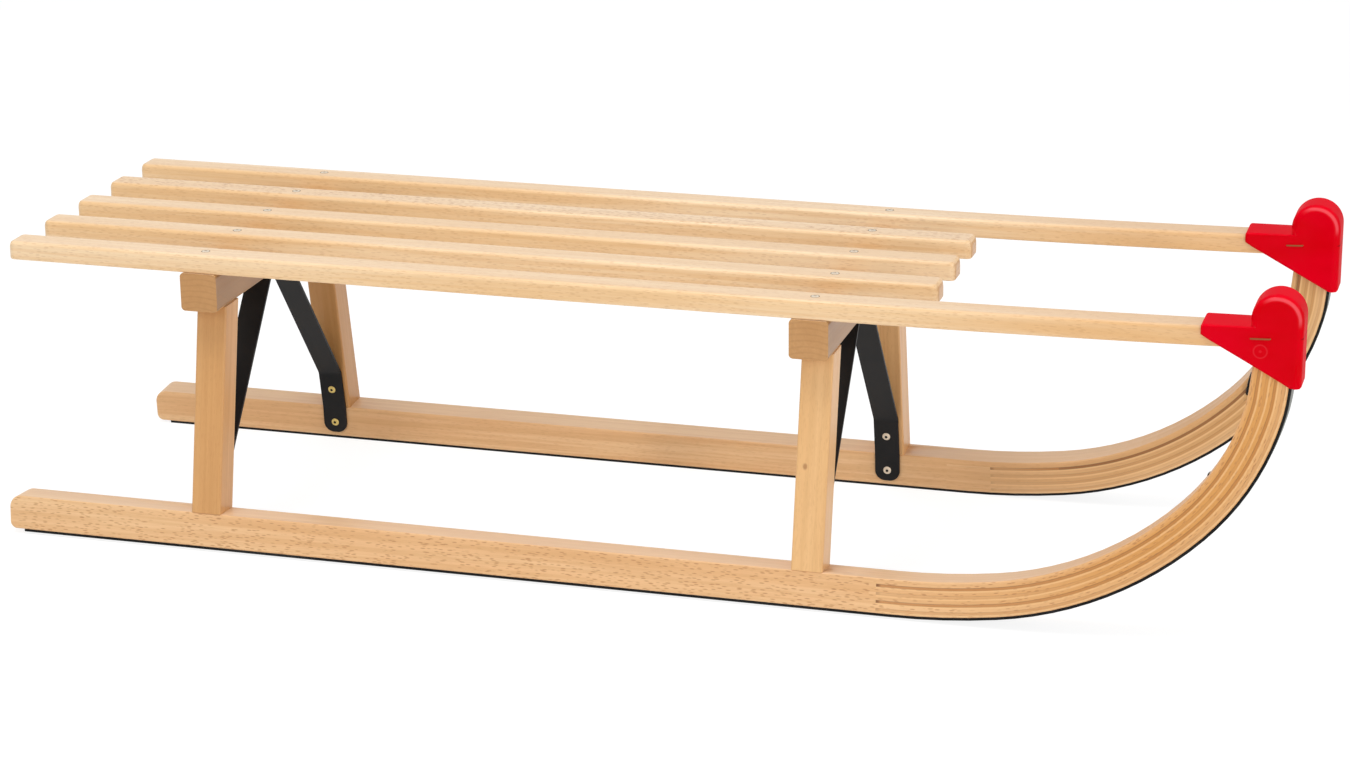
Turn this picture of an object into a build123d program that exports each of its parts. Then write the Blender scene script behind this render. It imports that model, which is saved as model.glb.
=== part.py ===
from build123d import *
from math import cos, degrees, radians, sin, tan
import os

os.makedirs("parts", exist_ok=True)

# Seat, lengths in mm; x runs forward, z up, the ground is z = 0
seat_rear = -542.0
inner_front = 249.5
slat_w = 26.0
slat_t = 16.2
slat_pitch = 66.6
slat_under = 241.5
slat_corner = 6.0
slat_round = 3.5
rise_radius = 15000.0

# Crossbars, one over each pair of legs
rear_x = -367.3
front_x = 159.1
bar_w = 32.5
bar_h = 32.9
bar_half = 147.5
bar_round = 3.5
bar_under = slat_under - bar_h

# Runners, leaning in towards the top
run_rear = -548.4
run_w = 27.0
run_h = 29.8
run_lean = 4.7
run_y = 152.9
bend_start = 231.6
bend_r1, bend_turn1 = 602.0, 8.25
bend_r2, bend_turn2 = 284.7, 36.95
bend_turn3 = 31.0
bend_r4, bend_turn4 = 120.0, 8.0
wood_tail = 28.0
wood_gap = 7.1
end_round_top = 11.0
end_round_low = 6.0

# Steel shoe under each runner
shoe_t = 2.5
shoe_w = 24.0
shoe_rear = -535.8
shoe_tail = 16.0
sole_lift = shoe_t * cos(radians(run_lean)) + shoe_w / 2 * sin(radians(run_lean))

# Veneers glued into the saw cuts of the bend, heights above the sole
cut_start = 214.0
veneer_t = 2.2
veneer_heights = (3.6, 10.2, 17.0, 23.8)

# Legs
leg_w = 26.5
leg_d = 26.8
leg_lean = 11.3
leg_inset = (bar_w - leg_w) / 2
tenon_x = 17.0
tenon_d = 14.0
tenon_up = 20.0
tenon_down = 16.0
tenon_gap = 0.15

# Steel strap braces, one under each crossbar
strap_w = 22.0
strap_ahead = 1.4
strap_t = 2.5
strap_flat = 19.9
strap_foot = 5.0
strap_knee_z = 68.0
strap_bend = 9.0
strap_end = 9.0
strap_gap = 0.05

# Plastic caps where the outer slats meet the runners
cap_half = 17.0
cap_y = 2 * slat_pitch
cap_nose = 5.0
cap_length = 78.6
cap_rise = 48.7
cap_drop = 25.0
cap_lead = 6.0
cap_lead_up = 9.7
cap_edge_up = 13.5
cap_toe = 8.0
cap_stop = 36.4
dome_r = 20.3
cap_wall = 1.6
cap_gap = 0.2
cap_rim = 6.0

# Rope eyes, bent steel loops on the inner faces of the bends
eye_turn = 52.9
eye_up = 24.9
eye_w = 4.6
eye_t = 3.0
eye_half = 8.6
eye_depth = 8.0

# Right runner's plane: local x forward, local y up the runner, normal outward
lean = radians(run_lean)
run_plane = Plane(origin=(0, -run_y, sole_lift), x_dir=(1, 0, 0), z_dir=(0, -cos(lean), sin(lean)))
# The third bend radius is the one that brings the runner's end just under the slats
turns = (0, bend_turn1, bend_turn2, bend_turn3, bend_turn4)
headings = [radians(sum(turns[: i + 1])) for i in range(len(turns))]
wood_end_h = (slat_under - wood_gap - sole_lift) / cos(lean)
other_rise = bend_r1 * (1 - cos(headings[1])) + bend_r2 * (cos(headings[1]) - cos(headings[2]))
other_rise += bend_r4 * (cos(headings[3]) - cos(headings[4])) + wood_tail * sin(headings[4])
bend_r3 = (wood_end_h - other_rise) / (cos(headings[2]) - cos(headings[3]))
bend_arcs = (
    (bend_r1, bend_turn1),
    (bend_r2, bend_turn2),
    (bend_r3, bend_turn3),
    (bend_r4, bend_turn4),
)
bend_reach = sum(r * (sin(headings[i + 1]) - sin(headings[i])) for i, (r, _) in enumerate(bend_arcs))
wood_end_x = bend_start + bend_reach + wood_tail * cos(headings[4])

# The caps, the outer slats' ends and the rope eyes follow the bend
cap_front = wood_end_x + shoe_t + cap_nose
cap_rear = cap_front - cap_length
cap_top = slat_under + cap_rise
outer_front = cap_front - cap_stop
arc3_x = bend_start + bend_r1 * sin(headings[1]) + bend_r2 * (sin(headings[2]) - sin(headings[1]))
arc3_h = bend_r1 * (1 - cos(headings[1])) + bend_r2 * (cos(headings[1]) - cos(headings[2]))
eye_heading = radians(eye_turn)
eye_x = arc3_x - bend_r3 * sin(headings[2]) + (bend_r3 - eye_up) * sin(eye_heading)
eye_h = arc3_h + bend_r3 * cos(headings[2]) - (bend_r3 - eye_up) * cos(eye_heading)


def bent_outline(low, high, start, tail):
    """Draws the outline between two heights above the sole, straight and then up the bend."""
    ends = []
    for height in (low, high):
        run = Line((start, height), (bend_start, height))
        for radius, turn in bend_arcs:
            run = JernArc(run @ 1, run % 1, radius - height, turn)
        last = Line(run @ 1, run @ 1 + run % 1 * tail)
        ends.append(last @ 1)
    Line((start, low), (start, high))
    Line(ends[0], ends[1])


# Foot of a leg on the runner's top face, and its top under the crossbar
foot = run_plane.from_local_coords(Vector(0, run_h, 0))
slope = tan(radians(leg_lean))
half_y = leg_d / 2 / cos(radians(leg_lean))
foot_y = half_y / (1 + slope * tan(lean))
top_y = foot.Y + slope * (bar_under - foot.Z)

# Runners with mortises for the legs, saw cuts for the veneers and holes for the rope eye
with BuildPart() as runner_right:
    with BuildSketch(run_plane):
        with BuildLine():
            bent_outline(0, run_h, run_rear, wood_tail)
        make_face()
    extrude(amount=run_w / 2, both=True)
    rear_end = runner_right.faces().sort_by(Axis.X)[0]
    across = rear_end.edges().filter_by(Axis((0, 0, 0), run_plane.z_dir))
    fillet(across.sort_by(Axis.Z)[-1], end_round_top)
    rear_end = runner_right.faces().sort_by(Axis.X)[0]
    across = rear_end.edges().filter_by(Axis((0, 0, 0), run_plane.z_dir))
    fillet(across.sort_by(Axis.Z)[0], end_round_low)
    for height in veneer_heights:
        with BuildSketch(run_plane):
            with BuildLine():
                bent_outline(height - veneer_t / 2, height + veneer_t / 2, cut_start, wood_tail + 1)
            make_face()
        extrude(amount=run_w / 2, both=True, mode=Mode.SUBTRACT)
    for bar_x in (rear_x, front_x):
        with BuildSketch(run_plane):
            with Locations((bar_x + leg_inset, run_h)):
                Rectangle(tenon_x + 2 * tenon_gap, 2 * (tenon_down + tenon_gap))
        extrude(amount=tenon_d / 2 + tenon_gap, both=True, mode=Mode.SUBTRACT)
    with BuildSketch(run_plane.offset(-run_w / 2)):
        with Locations((eye_x, eye_h - eye_half), (eye_x, eye_h + eye_half)):
            Rectangle(eye_w, eye_t)
    extrude(amount=eye_depth, mode=Mode.SUBTRACT)
runner_right.part.label = "runner_right"
export_step(runner_right.part, "parts/runner_right.step")

with BuildPart() as runner_left:
    mirror(runner_right.part, about=Plane.XZ)
runner_left.part.label = "runner_left"
export_step(runner_left.part, "parts/runner_left.step")

# Veneers in the saw cuts
with BuildPart() as bend_veneers_right:
    for height in veneer_heights:
        with BuildSketch(run_plane):
            with BuildLine():
                bent_outline(height - veneer_t / 2, height + veneer_t / 2, cut_start, wood_tail)
            make_face()
        extrude(amount=run_w / 2, both=True)
    with BuildSketch(run_plane.offset(-run_w / 2)):
        with Locations((eye_x, eye_h - eye_half), (eye_x, eye_h + eye_half)):
            Rectangle(eye_w, eye_t)
    extrude(amount=eye_depth, mode=Mode.SUBTRACT)
bend_veneers_right.part.label = "bend_veneers_right"
export_step(bend_veneers_right.part, "parts/bend_veneers_right.step")

with BuildPart() as bend_veneers_left:
    mirror(bend_veneers_right.part, about=Plane.XZ)
bend_veneers_left.part.label = "bend_veneers_left"
export_step(bend_veneers_left.part, "parts/bend_veneers_left.step")

# Steel shoes
with BuildPart() as shoe_right:
    with BuildSketch(run_plane):
        with BuildLine():
            bent_outline(-shoe_t, 0, shoe_rear, shoe_tail)
        make_face()
    extrude(amount=shoe_w / 2, both=True)
shoe_right.part.label = "shoe_right"
export_step(shoe_right.part, "parts/shoe_right.step")

with BuildPart() as shoe_left:
    mirror(shoe_right.part, about=Plane.XZ)
shoe_left.part.label = "shoe_left"
export_step(shoe_left.part, "parts/shoe_left.step")

# Crossbars with a mortise over each leg
for name, bar_x in (("crossbar_rear", rear_x), ("crossbar_front", front_x)):
    with BuildPart() as crossbar:
        with Locations((bar_x, 0, bar_under)):
            Box(bar_w, 2 * bar_half, bar_h, align=(Align.CENTER, Align.CENTER, Align.MIN))
        fillet(crossbar.edges().filter_by(Axis.Y), bar_round)
        with Locations((bar_x + leg_inset, top_y, bar_under), (bar_x + leg_inset, -top_y, bar_under)):
            Box(
                tenon_x + 2 * tenon_gap,
                tenon_d + 2 * tenon_gap,
                2 * (tenon_up + tenon_gap),
                mode=Mode.SUBTRACT,
            )
    crossbar.part.label = name
    export_step(crossbar.part, f"parts/{name}.step")

# Legs with a tenon at each end
for place, bar_x in (("rear", rear_x), ("front", front_x)):
    leg_x = bar_x + leg_inset
    with BuildPart() as leg_right:
        with BuildSketch(Plane.YZ.offset(leg_x)):
            with BuildLine():
                Polyline(
                    (foot.Y - foot_y, foot.Z + foot_y * tan(lean)),
                    (foot.Y + foot_y, foot.Z - foot_y * tan(lean)),
                    (top_y + half_y, bar_under),
                    (top_y - half_y, bar_under),
                    close=True,
                )
            make_face()
        extrude(amount=leg_w / 2, both=True)
        with BuildSketch(run_plane):
            with Locations((leg_x, run_h - tenon_down / 2)):
                Rectangle(tenon_x, tenon_down)
        extrude(amount=tenon_d / 2, both=True)
        with Locations((leg_x, top_y, bar_under)):
            Box(tenon_x, tenon_d, tenon_up, align=(Align.CENTER, Align.CENTER, Align.MIN))
    leg_right.part.label = f"leg_{place}_right"
    export_step(leg_right.part, f"parts/leg_{place}_right.step")
    with BuildPart() as leg_left:
        mirror(leg_right.part, about=Plane.XZ)
    leg_left.part.label = f"leg_{place}_left"
    export_step(leg_left.part, f"parts/leg_{place}_left.step")

# Braces: one strap bent from foot to foot, passing flat under the crossbar
strap_off = strap_t / 2 + strap_gap
foot_low = run_plane.from_local_coords(Vector(0, strap_foot, -run_w / 2 - strap_off))
foot_high = run_plane.from_local_coords(Vector(0, run_h, -run_w / 2 - strap_off))
knee_y = foot.Y + slope * (strap_knee_z - foot.Z) + (leg_d / 2 + strap_off) / cos(radians(leg_lean))
strap_top = bar_under - strap_t / 2
for name, bar_x in (("brace_rear", rear_x), ("brace_front", front_x)):
    strap_x = bar_x + strap_ahead
    with BuildPart() as brace:
        with BuildLine() as strap_path:
            FilletPolyline(
                (strap_x, foot_low.Y, foot_low.Z),
                (strap_x, foot_high.Y, foot_high.Z),
                (strap_x, knee_y, strap_knee_z),
                (strap_x, -strap_flat, strap_top),
                (strap_x, strap_flat, strap_top),
                (strap_x, -knee_y, strap_knee_z),
                (strap_x, -foot_high.Y, foot_high.Z),
                (strap_x, -foot_low.Y, foot_low.Z),
                radius=strap_bend,
            )
        path = strap_path.line
        with BuildSketch(Plane(origin=path @ 0, x_dir=(1, 0, 0), z_dir=path % 0)):
            Rectangle(strap_w, strap_t)
        sweep(path=path)
        ends = brace.edges().filter_by(lambda e: e.length < 1.1 * strap_t).sort_by(Axis.Z)[:4]
        fillet(ends, strap_end)
    brace.part.label = name
    export_step(brace.part, f"parts/{name}.step")

# Slats: the two outer ones run on into the caps and rise slightly at the front
slats = (
    ("slat_outer_right", -2, True),
    ("slat_inner_right", -1, False),
    ("slat_middle", 0, False),
    ("slat_inner_left", 1, False),
    ("slat_outer_left", 2, True),
)
rise_turn = degrees((outer_front - front_x) / rise_radius)
for name, place, is_outer in slats:
    with BuildPart() as slat:
        with BuildSketch(Plane.XZ.offset(-place * slat_pitch)):
            with BuildLine():
                low = Line((seat_rear, slat_under), (front_x if is_outer else inner_front, slat_under))
                high = Line(low @ 0 + (0, slat_t), low @ 1 + (0, slat_t))
                Line(low @ 0, high @ 0)
                if is_outer:
                    low = JernArc(low @ 1, (1, 0), rise_radius, rise_turn)
                    high = JernArc(high @ 1, (1, 0), rise_radius - slat_t, rise_turn)
                Line(low @ 1, high @ 1)
            make_face()
        extrude(amount=slat_w / 2, both=True)
        long_edges = slat.edges().filter_by(lambda e: e.length > 2 * slat_w)
        fillet(long_edges.filter_by(lambda e: e.center().Z > slat_under + slat_t / 2), slat_round)
        # Rounded corners in plan; the front corners of the outer slats stay square in the caps
        plan_front = outer_front + 2 * slat_w if is_outer else inner_front
        with BuildSketch(Plane.XY.offset(slat_under)):
            with Locations(((seat_rear + plan_front) / 2, place * slat_pitch)):
                RectangleRounded(plan_front - seat_rear, slat_w, slat_corner)
        extrude(amount=2 * slat_t, mode=Mode.INTERSECT)
    slat.part.label = name
    export_step(slat.part, f"parts/{name}.step")
    if name == "slat_outer_right":
        pocket_low = low @ 1
        pocket_high = high @ 1

# Caps: a sleeve on the slat, a dome and a web down to the runner
with BuildPart() as cap_right:
    with BuildSketch(Plane.XZ.offset(cap_y)):
        sleeve_top = pocket_high.Y + cap_wall
        dome_z = cap_top - dome_r
        with BuildLine():
            Polyline(
                (cap_front - 2 * dome_r, dome_z),
                (cap_front - 2 * dome_r, sleeve_top),
                (cap_rear, sleeve_top),
                (cap_rear, slat_under + cap_edge_up),
                (cap_rear + cap_lead, slat_under + cap_lead_up),
                (cap_front - cap_toe, slat_under - cap_drop),
                (cap_front, slat_under - cap_drop),
                (cap_front, dome_z),
            )
            ThreePointArc(
                (cap_front, dome_z), (cap_front - dome_r, cap_top), (cap_front - 2 * dome_r, dome_z)
            )
        make_face()
    extrude(amount=cap_half, both=True)
    sides = cap_right.faces().filter_by(Axis.Y).sort_by(Axis.Y)
    rims = (sides[0].edges() + sides[-1].edges()).filter_by(
        lambda e: e.center().Z > dome_z or e.center().X > cap_front - 1
    )
    fillet(rims, cap_rim)
    with BuildSketch(Plane.XZ.offset(cap_y)):
        with BuildLine():
            turn = rise_turn * (outer_front + cap_gap - front_x) / (outer_front - front_x)
            low = JernArc((front_x, slat_under - cap_gap), (1, 0), rise_radius + cap_gap, turn)
            high_start = (front_x, slat_under + slat_t + cap_gap)
            high = JernArc(high_start, (1, 0), rise_radius - slat_t - cap_gap, turn)
            Line(low @ 0, high @ 0)
            Line(low @ 1, high @ 1)
        make_face()
    extrude(amount=slat_w / 2 + cap_gap, both=True, mode=Mode.SUBTRACT)
    with BuildSketch(run_plane):
        with BuildLine():
            bent_outline(-shoe_t - cap_gap, run_h + cap_gap, bend_start - 5, wood_tail + cap_gap)
        make_face()
    extrude(amount=run_w / 2 + cap_gap, both=True, mode=Mode.SUBTRACT)
cap_right.part.label = "cap_right"
export_step(cap_right.part, "parts/cap_right.step")

with BuildPart() as cap_left:
    mirror(cap_right.part, about=Plane.XZ)
cap_left.part.label = "cap_left"
export_step(cap_left.part, "parts/cap_left.step")

# Rope eyes
eye_origin = run_plane.from_local_coords(Vector(eye_x, eye_h, -run_w / 2))
with BuildPart() as rope_eye_right:
    with BuildLine(Plane(origin=eye_origin, x_dir=-run_plane.z_dir, z_dir=(1, 0, 0))) as eye_path:
        leg_low = Line((-eye_depth, -eye_half), (0, -eye_half))
        crown = ThreePointArc((0, -eye_half), (eye_half, 0), (0, eye_half))
        leg_high = Line((0, eye_half), (-eye_depth, eye_half))
    path = eye_path.line
    with BuildSketch(Plane(origin=path @ 0, x_dir=(1, 0, 0), z_dir=path % 0)):
        Rectangle(eye_w, eye_t)
    sweep(path=path)
rope_eye_right.part.label = "rope_eye_right"
export_step(rope_eye_right.part, "parts/rope_eye_right.step")

with BuildPart() as rope_eye_left:
    mirror(rope_eye_right.part, about=Plane.XZ)
rope_eye_left.part.label = "rope_eye_left"
export_step(rope_eye_left.part, "parts/rope_eye_left.step")
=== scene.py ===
import bpy
import bmesh
import math
from types import SimpleNamespace
from mathutils import Matrix, Vector


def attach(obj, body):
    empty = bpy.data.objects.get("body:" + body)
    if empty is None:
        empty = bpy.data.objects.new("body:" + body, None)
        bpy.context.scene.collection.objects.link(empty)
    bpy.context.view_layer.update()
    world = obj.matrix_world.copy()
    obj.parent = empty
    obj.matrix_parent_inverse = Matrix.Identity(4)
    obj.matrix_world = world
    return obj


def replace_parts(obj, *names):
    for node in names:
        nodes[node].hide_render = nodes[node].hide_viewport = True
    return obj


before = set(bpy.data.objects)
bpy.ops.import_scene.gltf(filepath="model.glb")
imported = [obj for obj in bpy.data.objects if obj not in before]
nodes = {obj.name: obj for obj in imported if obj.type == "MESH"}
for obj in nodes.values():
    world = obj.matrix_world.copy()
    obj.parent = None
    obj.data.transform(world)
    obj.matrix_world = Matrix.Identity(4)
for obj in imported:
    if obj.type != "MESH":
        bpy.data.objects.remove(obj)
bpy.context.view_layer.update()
scene = bpy.context.scene

# Looks of the davos sled: materials, small fasteners, softened edges, light and camera.
# Lengths are in metres. +X is forward, +Y is the sled's left, +Z is up.
# The sizes in the first groups, down to the caps, repeat the CAD.

# Runners: they lean inward and bend up at the front, along arcs of a radius and degrees
LEAN = math.radians(4.7)
RUN_Y = 0.1529
SOLE = 0.003475
RUN_W = 0.027
RUN_H = 0.0298
BEND_START = 0.2316
BEND_ARCS = ((0.602, 8.25), (0.2847, 36.95), (0.2144, 31.0), (0.12, 8.0))
CUT_START = 0.214
VENEER_T = 0.0022

# Legs, crossbars and the straps that brace them
LEG_LEAN = math.radians(11.3)
LEG_D = 0.0268
BAR_X = (-0.3673, 0.1591)
BAR_UNDER = 0.2086
STRAP_T = 0.0025
STRAP_AHEAD = 0.0014

# Slats: the outer ones rise towards the caps on one long arc
SLAT_PITCH = 0.0666
SLAT_TOP = 0.2577
SLAT_UNDER = 0.2415
SLAT_W = 0.026
SLAT_REAR = -0.542
SLAT_FRONT = 0.2495
OUTER_FRONT = 0.512
RISE_START = 0.1591
RISE_RADIUS = 15.0

# Caps: middle plane and half width
CAP_Y = 0.1332
CAP_HALF = 0.017

# The rest is the scene's own.

# Rounded edges. Crossbars, braces and shoes have a bevel; the others are reshaped.
EDGE_WIDTH = {"crossbar": 0.0032, "brace": 0.0005, "shoe": 0.0005}
CAP_RIM_ROUND = 0.0024
CAP_CROSS_ROUND = 0.0012
RUNNER_ROUND = 0.0016
LEG_ROUND = 0.0016
# Limits that pick out the sleeve's rear top, the toe's bottom and a runner's rear end
SLEEVE_REAR_BEHIND = 0.4702
SLEEVE_TOP_ABOVE = 0.262
TOE_BELOW = 0.217
RUNNER_REAR_BEHIND = -0.53
# Corners of a slat's section
SLAT_TOP_ROUND = 0.0036
SLAT_LOW_ROUND = 0.0014
# Radii of a slat's end in plan, at its lower edge and at its upper edge
END_SIDE_ROUND = 0.0058
END_LOW_ROUND = 0.0016
END_TOP_ROUND = 0.0050
# Where a slat is drawn: steps from a rounded end, and places along a rising one
END_LENGTH = 0.006
END_STEPS = [END_LENGTH * (1 - math.cos(math.radians(15 * k))) for k in range(7)]
RISE_STATIONS_MM = range(159, 512, 22)

# Screws: head radius, height of the dome, depth of the star recess and width of the gap round
# the head, dark with painted shade
SLAT_SCREW = {"radius": 0.0032, "dome": 0.0003, "recess": 0.0009, "gap": 0.0006}
FOOT_SCREW = {"radius": 0.0036, "dome": 0.0010, "recess": 0.0018}
BAR_SCREW = {"radius": 0.0042, "dome": 0.0007, "recess": 0.0014}
SOLE_SCREW = {"radius": 0.0038, "dome": 0.0001, "recess": 0.0010}
SLAT_SCREW_X = (-0.365, 0.161)
FOOT_SCREW_H = 0.0150
LEG_SCREW_Z = 0.0505
BAR_SCREW_Y = 0.0095
SOLE_SCREW_X = (-0.500, -0.250, 0.0, 0.205)
SOLE_SCREW_H = -0.0025
HEAD_CLEARANCE = 0.00005

# Cap staples: rear and front end along x on the outer (1) and inner (-1) faces, height of the
# rear end, and how much higher the front end is
STAPLE_X = {1: (0.5085, 0.5235), -1: (0.5050, 0.5180)}
STAPLE_Z = 0.2548
STAPLE_SLANT = 0.0008
STAPLE_CORNER = 0.0008
STAPLE_STAND = 0.0006
STAPLE_DEPTH = 0.002
STAPLE_WIRE_R = 0.0007

# Rope eyes: place on the bend, half height of the loop, wire radius, depth of the ends, lean
EYE_X = 0.4782
EYE_H = 0.1245
EYE_HALF = 0.0082
EYE_WIRE_R = 0.0020
EYE_ROOT = 0.004
EYE_TILT = math.radians(10)

# Colours are 8-bit display values. Each wood has a base, pale streaks and warm lines.
SLAT_TONES = ((238, 201, 153), (247, 219, 181), (228, 184, 130))
# The crossbars' tones are darker than the other beech, partly the wood's own tone and partly
# painted shade from the slats above them
BAR_TONES = ((191, 147, 93), (205, 161, 107), (175, 131, 79))
LEG_TONES = ((220, 168, 110), (232, 186, 132), (203, 150, 94))
RUNNER_TONES = ((231, 184, 133), (239, 199, 151), (214, 163, 110))
FLECK_BROWN = (178, 120, 72)
# Painted sheen on the wood's upward faces
TOP_PAINTED_SHEEN = (238, 214, 188)
# Painted warm light on the bends
RIGHT_BEND_GOLD = (213, 149, 74)
LEFT_BEND_GOLD = (206, 156, 98)
SLAT_FRONT_WARM = (224, 172, 112)
# Painted shade on the crossbars' front faces
BAR_FRONT_SHADE = (140, 102, 66)
# Partly the rear legs' own tone, partly painted shade
REAR_LEG_TONE_AND_SHADE = (190, 136, 78)
FRONT_LEG_PALE = (232, 187, 130)
KNOT_BROWN = (140, 84, 44)
SAWN_END = (192, 140, 88)
RING_BROWN = (150, 100, 58)
VENEER_BROWN = (176, 114, 56)
DARKEST_VENEER_BROWN = (146, 94, 50)
BESIDE_VENEER = (246, 204, 148)
GLUE_BROWN = (120, 76, 40)
# Painted shade in the mouths of the saw cuts
PAINTED_MOUTH_SHADE = (96, 56, 30)
WORN_GREY = (96, 98, 100)
# Painted reflection on the outside of the shoes' bends
REFLECTION_GREY = (128, 130, 122)
CAP_RED = (208, 0, 12)
CAP_FLOW_RED = (220, 0, 26)
# Painted light on the caps' tops
CAP_TOP_PAINTED_LIGHT = (238, 6, 36)
# Painted highlight on the domes' rims
CAP_RIM_PAINTED_HIGHLIGHT = (250, 120, 128)
CAP_MARK_PINK = (244, 90, 100)
# Painted shade of the caps' front slit
CAP_SLIT_SHADE = (96, 0, 8)

# Wood figure: repeats per metre along the grain and in the two directions across it
WANDER = (3.0, 9.0, 9.0)
STREAKS = (1.6, 38.0, 38.0)
LINES = (5.0, 260.0, 260.0)
PORES = (60.0, 2200.0, 2200.0)
FLECKS = (135.0, 640.0, 640.0)
FLECK_PATCHES = (12.0, 80.0, 80.0)
SHEEN = (12.0, 160.0, 160.0)
RING_WOBBLE = (60.0, 60.0, 60.0)
# Growth rings: radians of their wave per metre, and height of the heart they run round
RING_WAVE = 1250.0
HEART_HEIGHT = 0.17
# Where the bends' painted golden light and the outer slats' warm tone start and are full, and
# the height in the runner where that painted light is strongest
GOLD_REACH = (-0.08, 0.26)
GOLD_HEIGHT = 0.0175
WARM_REACH = (0.2, 0.42)

# Height of each veneer above the sole, and how brown it is on the right and left runners
VENEERS = (
    (0.0036, 0.25, 0.25),
    (0.0102, 0.62, 0.30),
    (0.0170, 0.22, 0.30),
    (0.0238, 0.68, 0.90),
)
# In the photograph the saw cuts begin this far ahead of the CAD's, so their first part is
# left the colour of the runner
RIGHT_CUT_LATER = 0.006
LEFT_CUT_LATER = 0.040

# Marks on the photographed sled: a knot in the right front leg, and the caps' moulding marks
KNOT_X, KNOT_Z = 0.1565, 0.118
MARK_X, MARK_Z, MARK_R = 0.5163, 0.2450, 0.0052
SLIT_Z = 0.2565
# Heights between which the painted highlight on the domes' rims sets in
RIM_HIGHLIGHT_REACH = (0.264, 0.272)

# Lamps: name, place, what it is aimed at, width and height, watts
LAMPS = (
    ("overhead", (-0.5, -0.6, 2.6), (0.0, 0.0, 0.1), (1.2, 1.2), 34.0),
    ("camera_left", (-0.9, -2.6, 1.5), (0.0, 0.0, 0.15), (0.5, 1.0), 9.0),
    ("camera_right", (1.75, -2.3, 0.8), (0.3, 0.0, 0.15), (0.2, 1.2), 13.0),
    ("front", (2.6, -0.4, 1.0), (0.0, 0.0, 0.15), (1.2, 1.2), 15.5),
)
WORLD_LIGHT = 0.56
WORLD_SEEN = 1.0
FLOOR_HALF = 30.0
FLOOR_GREY = 0.93
FLOOR_SEEN = 1.15
FLOOR_SEEN_SHARE = 0.75

# Camera of the photograph, in radians, metres and millimetres
YAW, PITCH, ROLL = -0.2871, 0.3207, -0.0105
CAMERA_PLACE = (0.7955, -2.6793, 1.0510)
SENSOR_MM = 36.0
LENS_MM = 91.62


# ---------------------------------------------------------------- node trees


def srgb(r, g, b):
    """Linear colour of an 8-bit display colour."""
    channels = [c / 255 for c in (r, g, b)]
    linear = [c / 12.92 if c <= 10 / 255 else ((c + 0.055) / 1.055) ** 2.4 for c in channels]
    return (*linear, 1.0)


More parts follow.
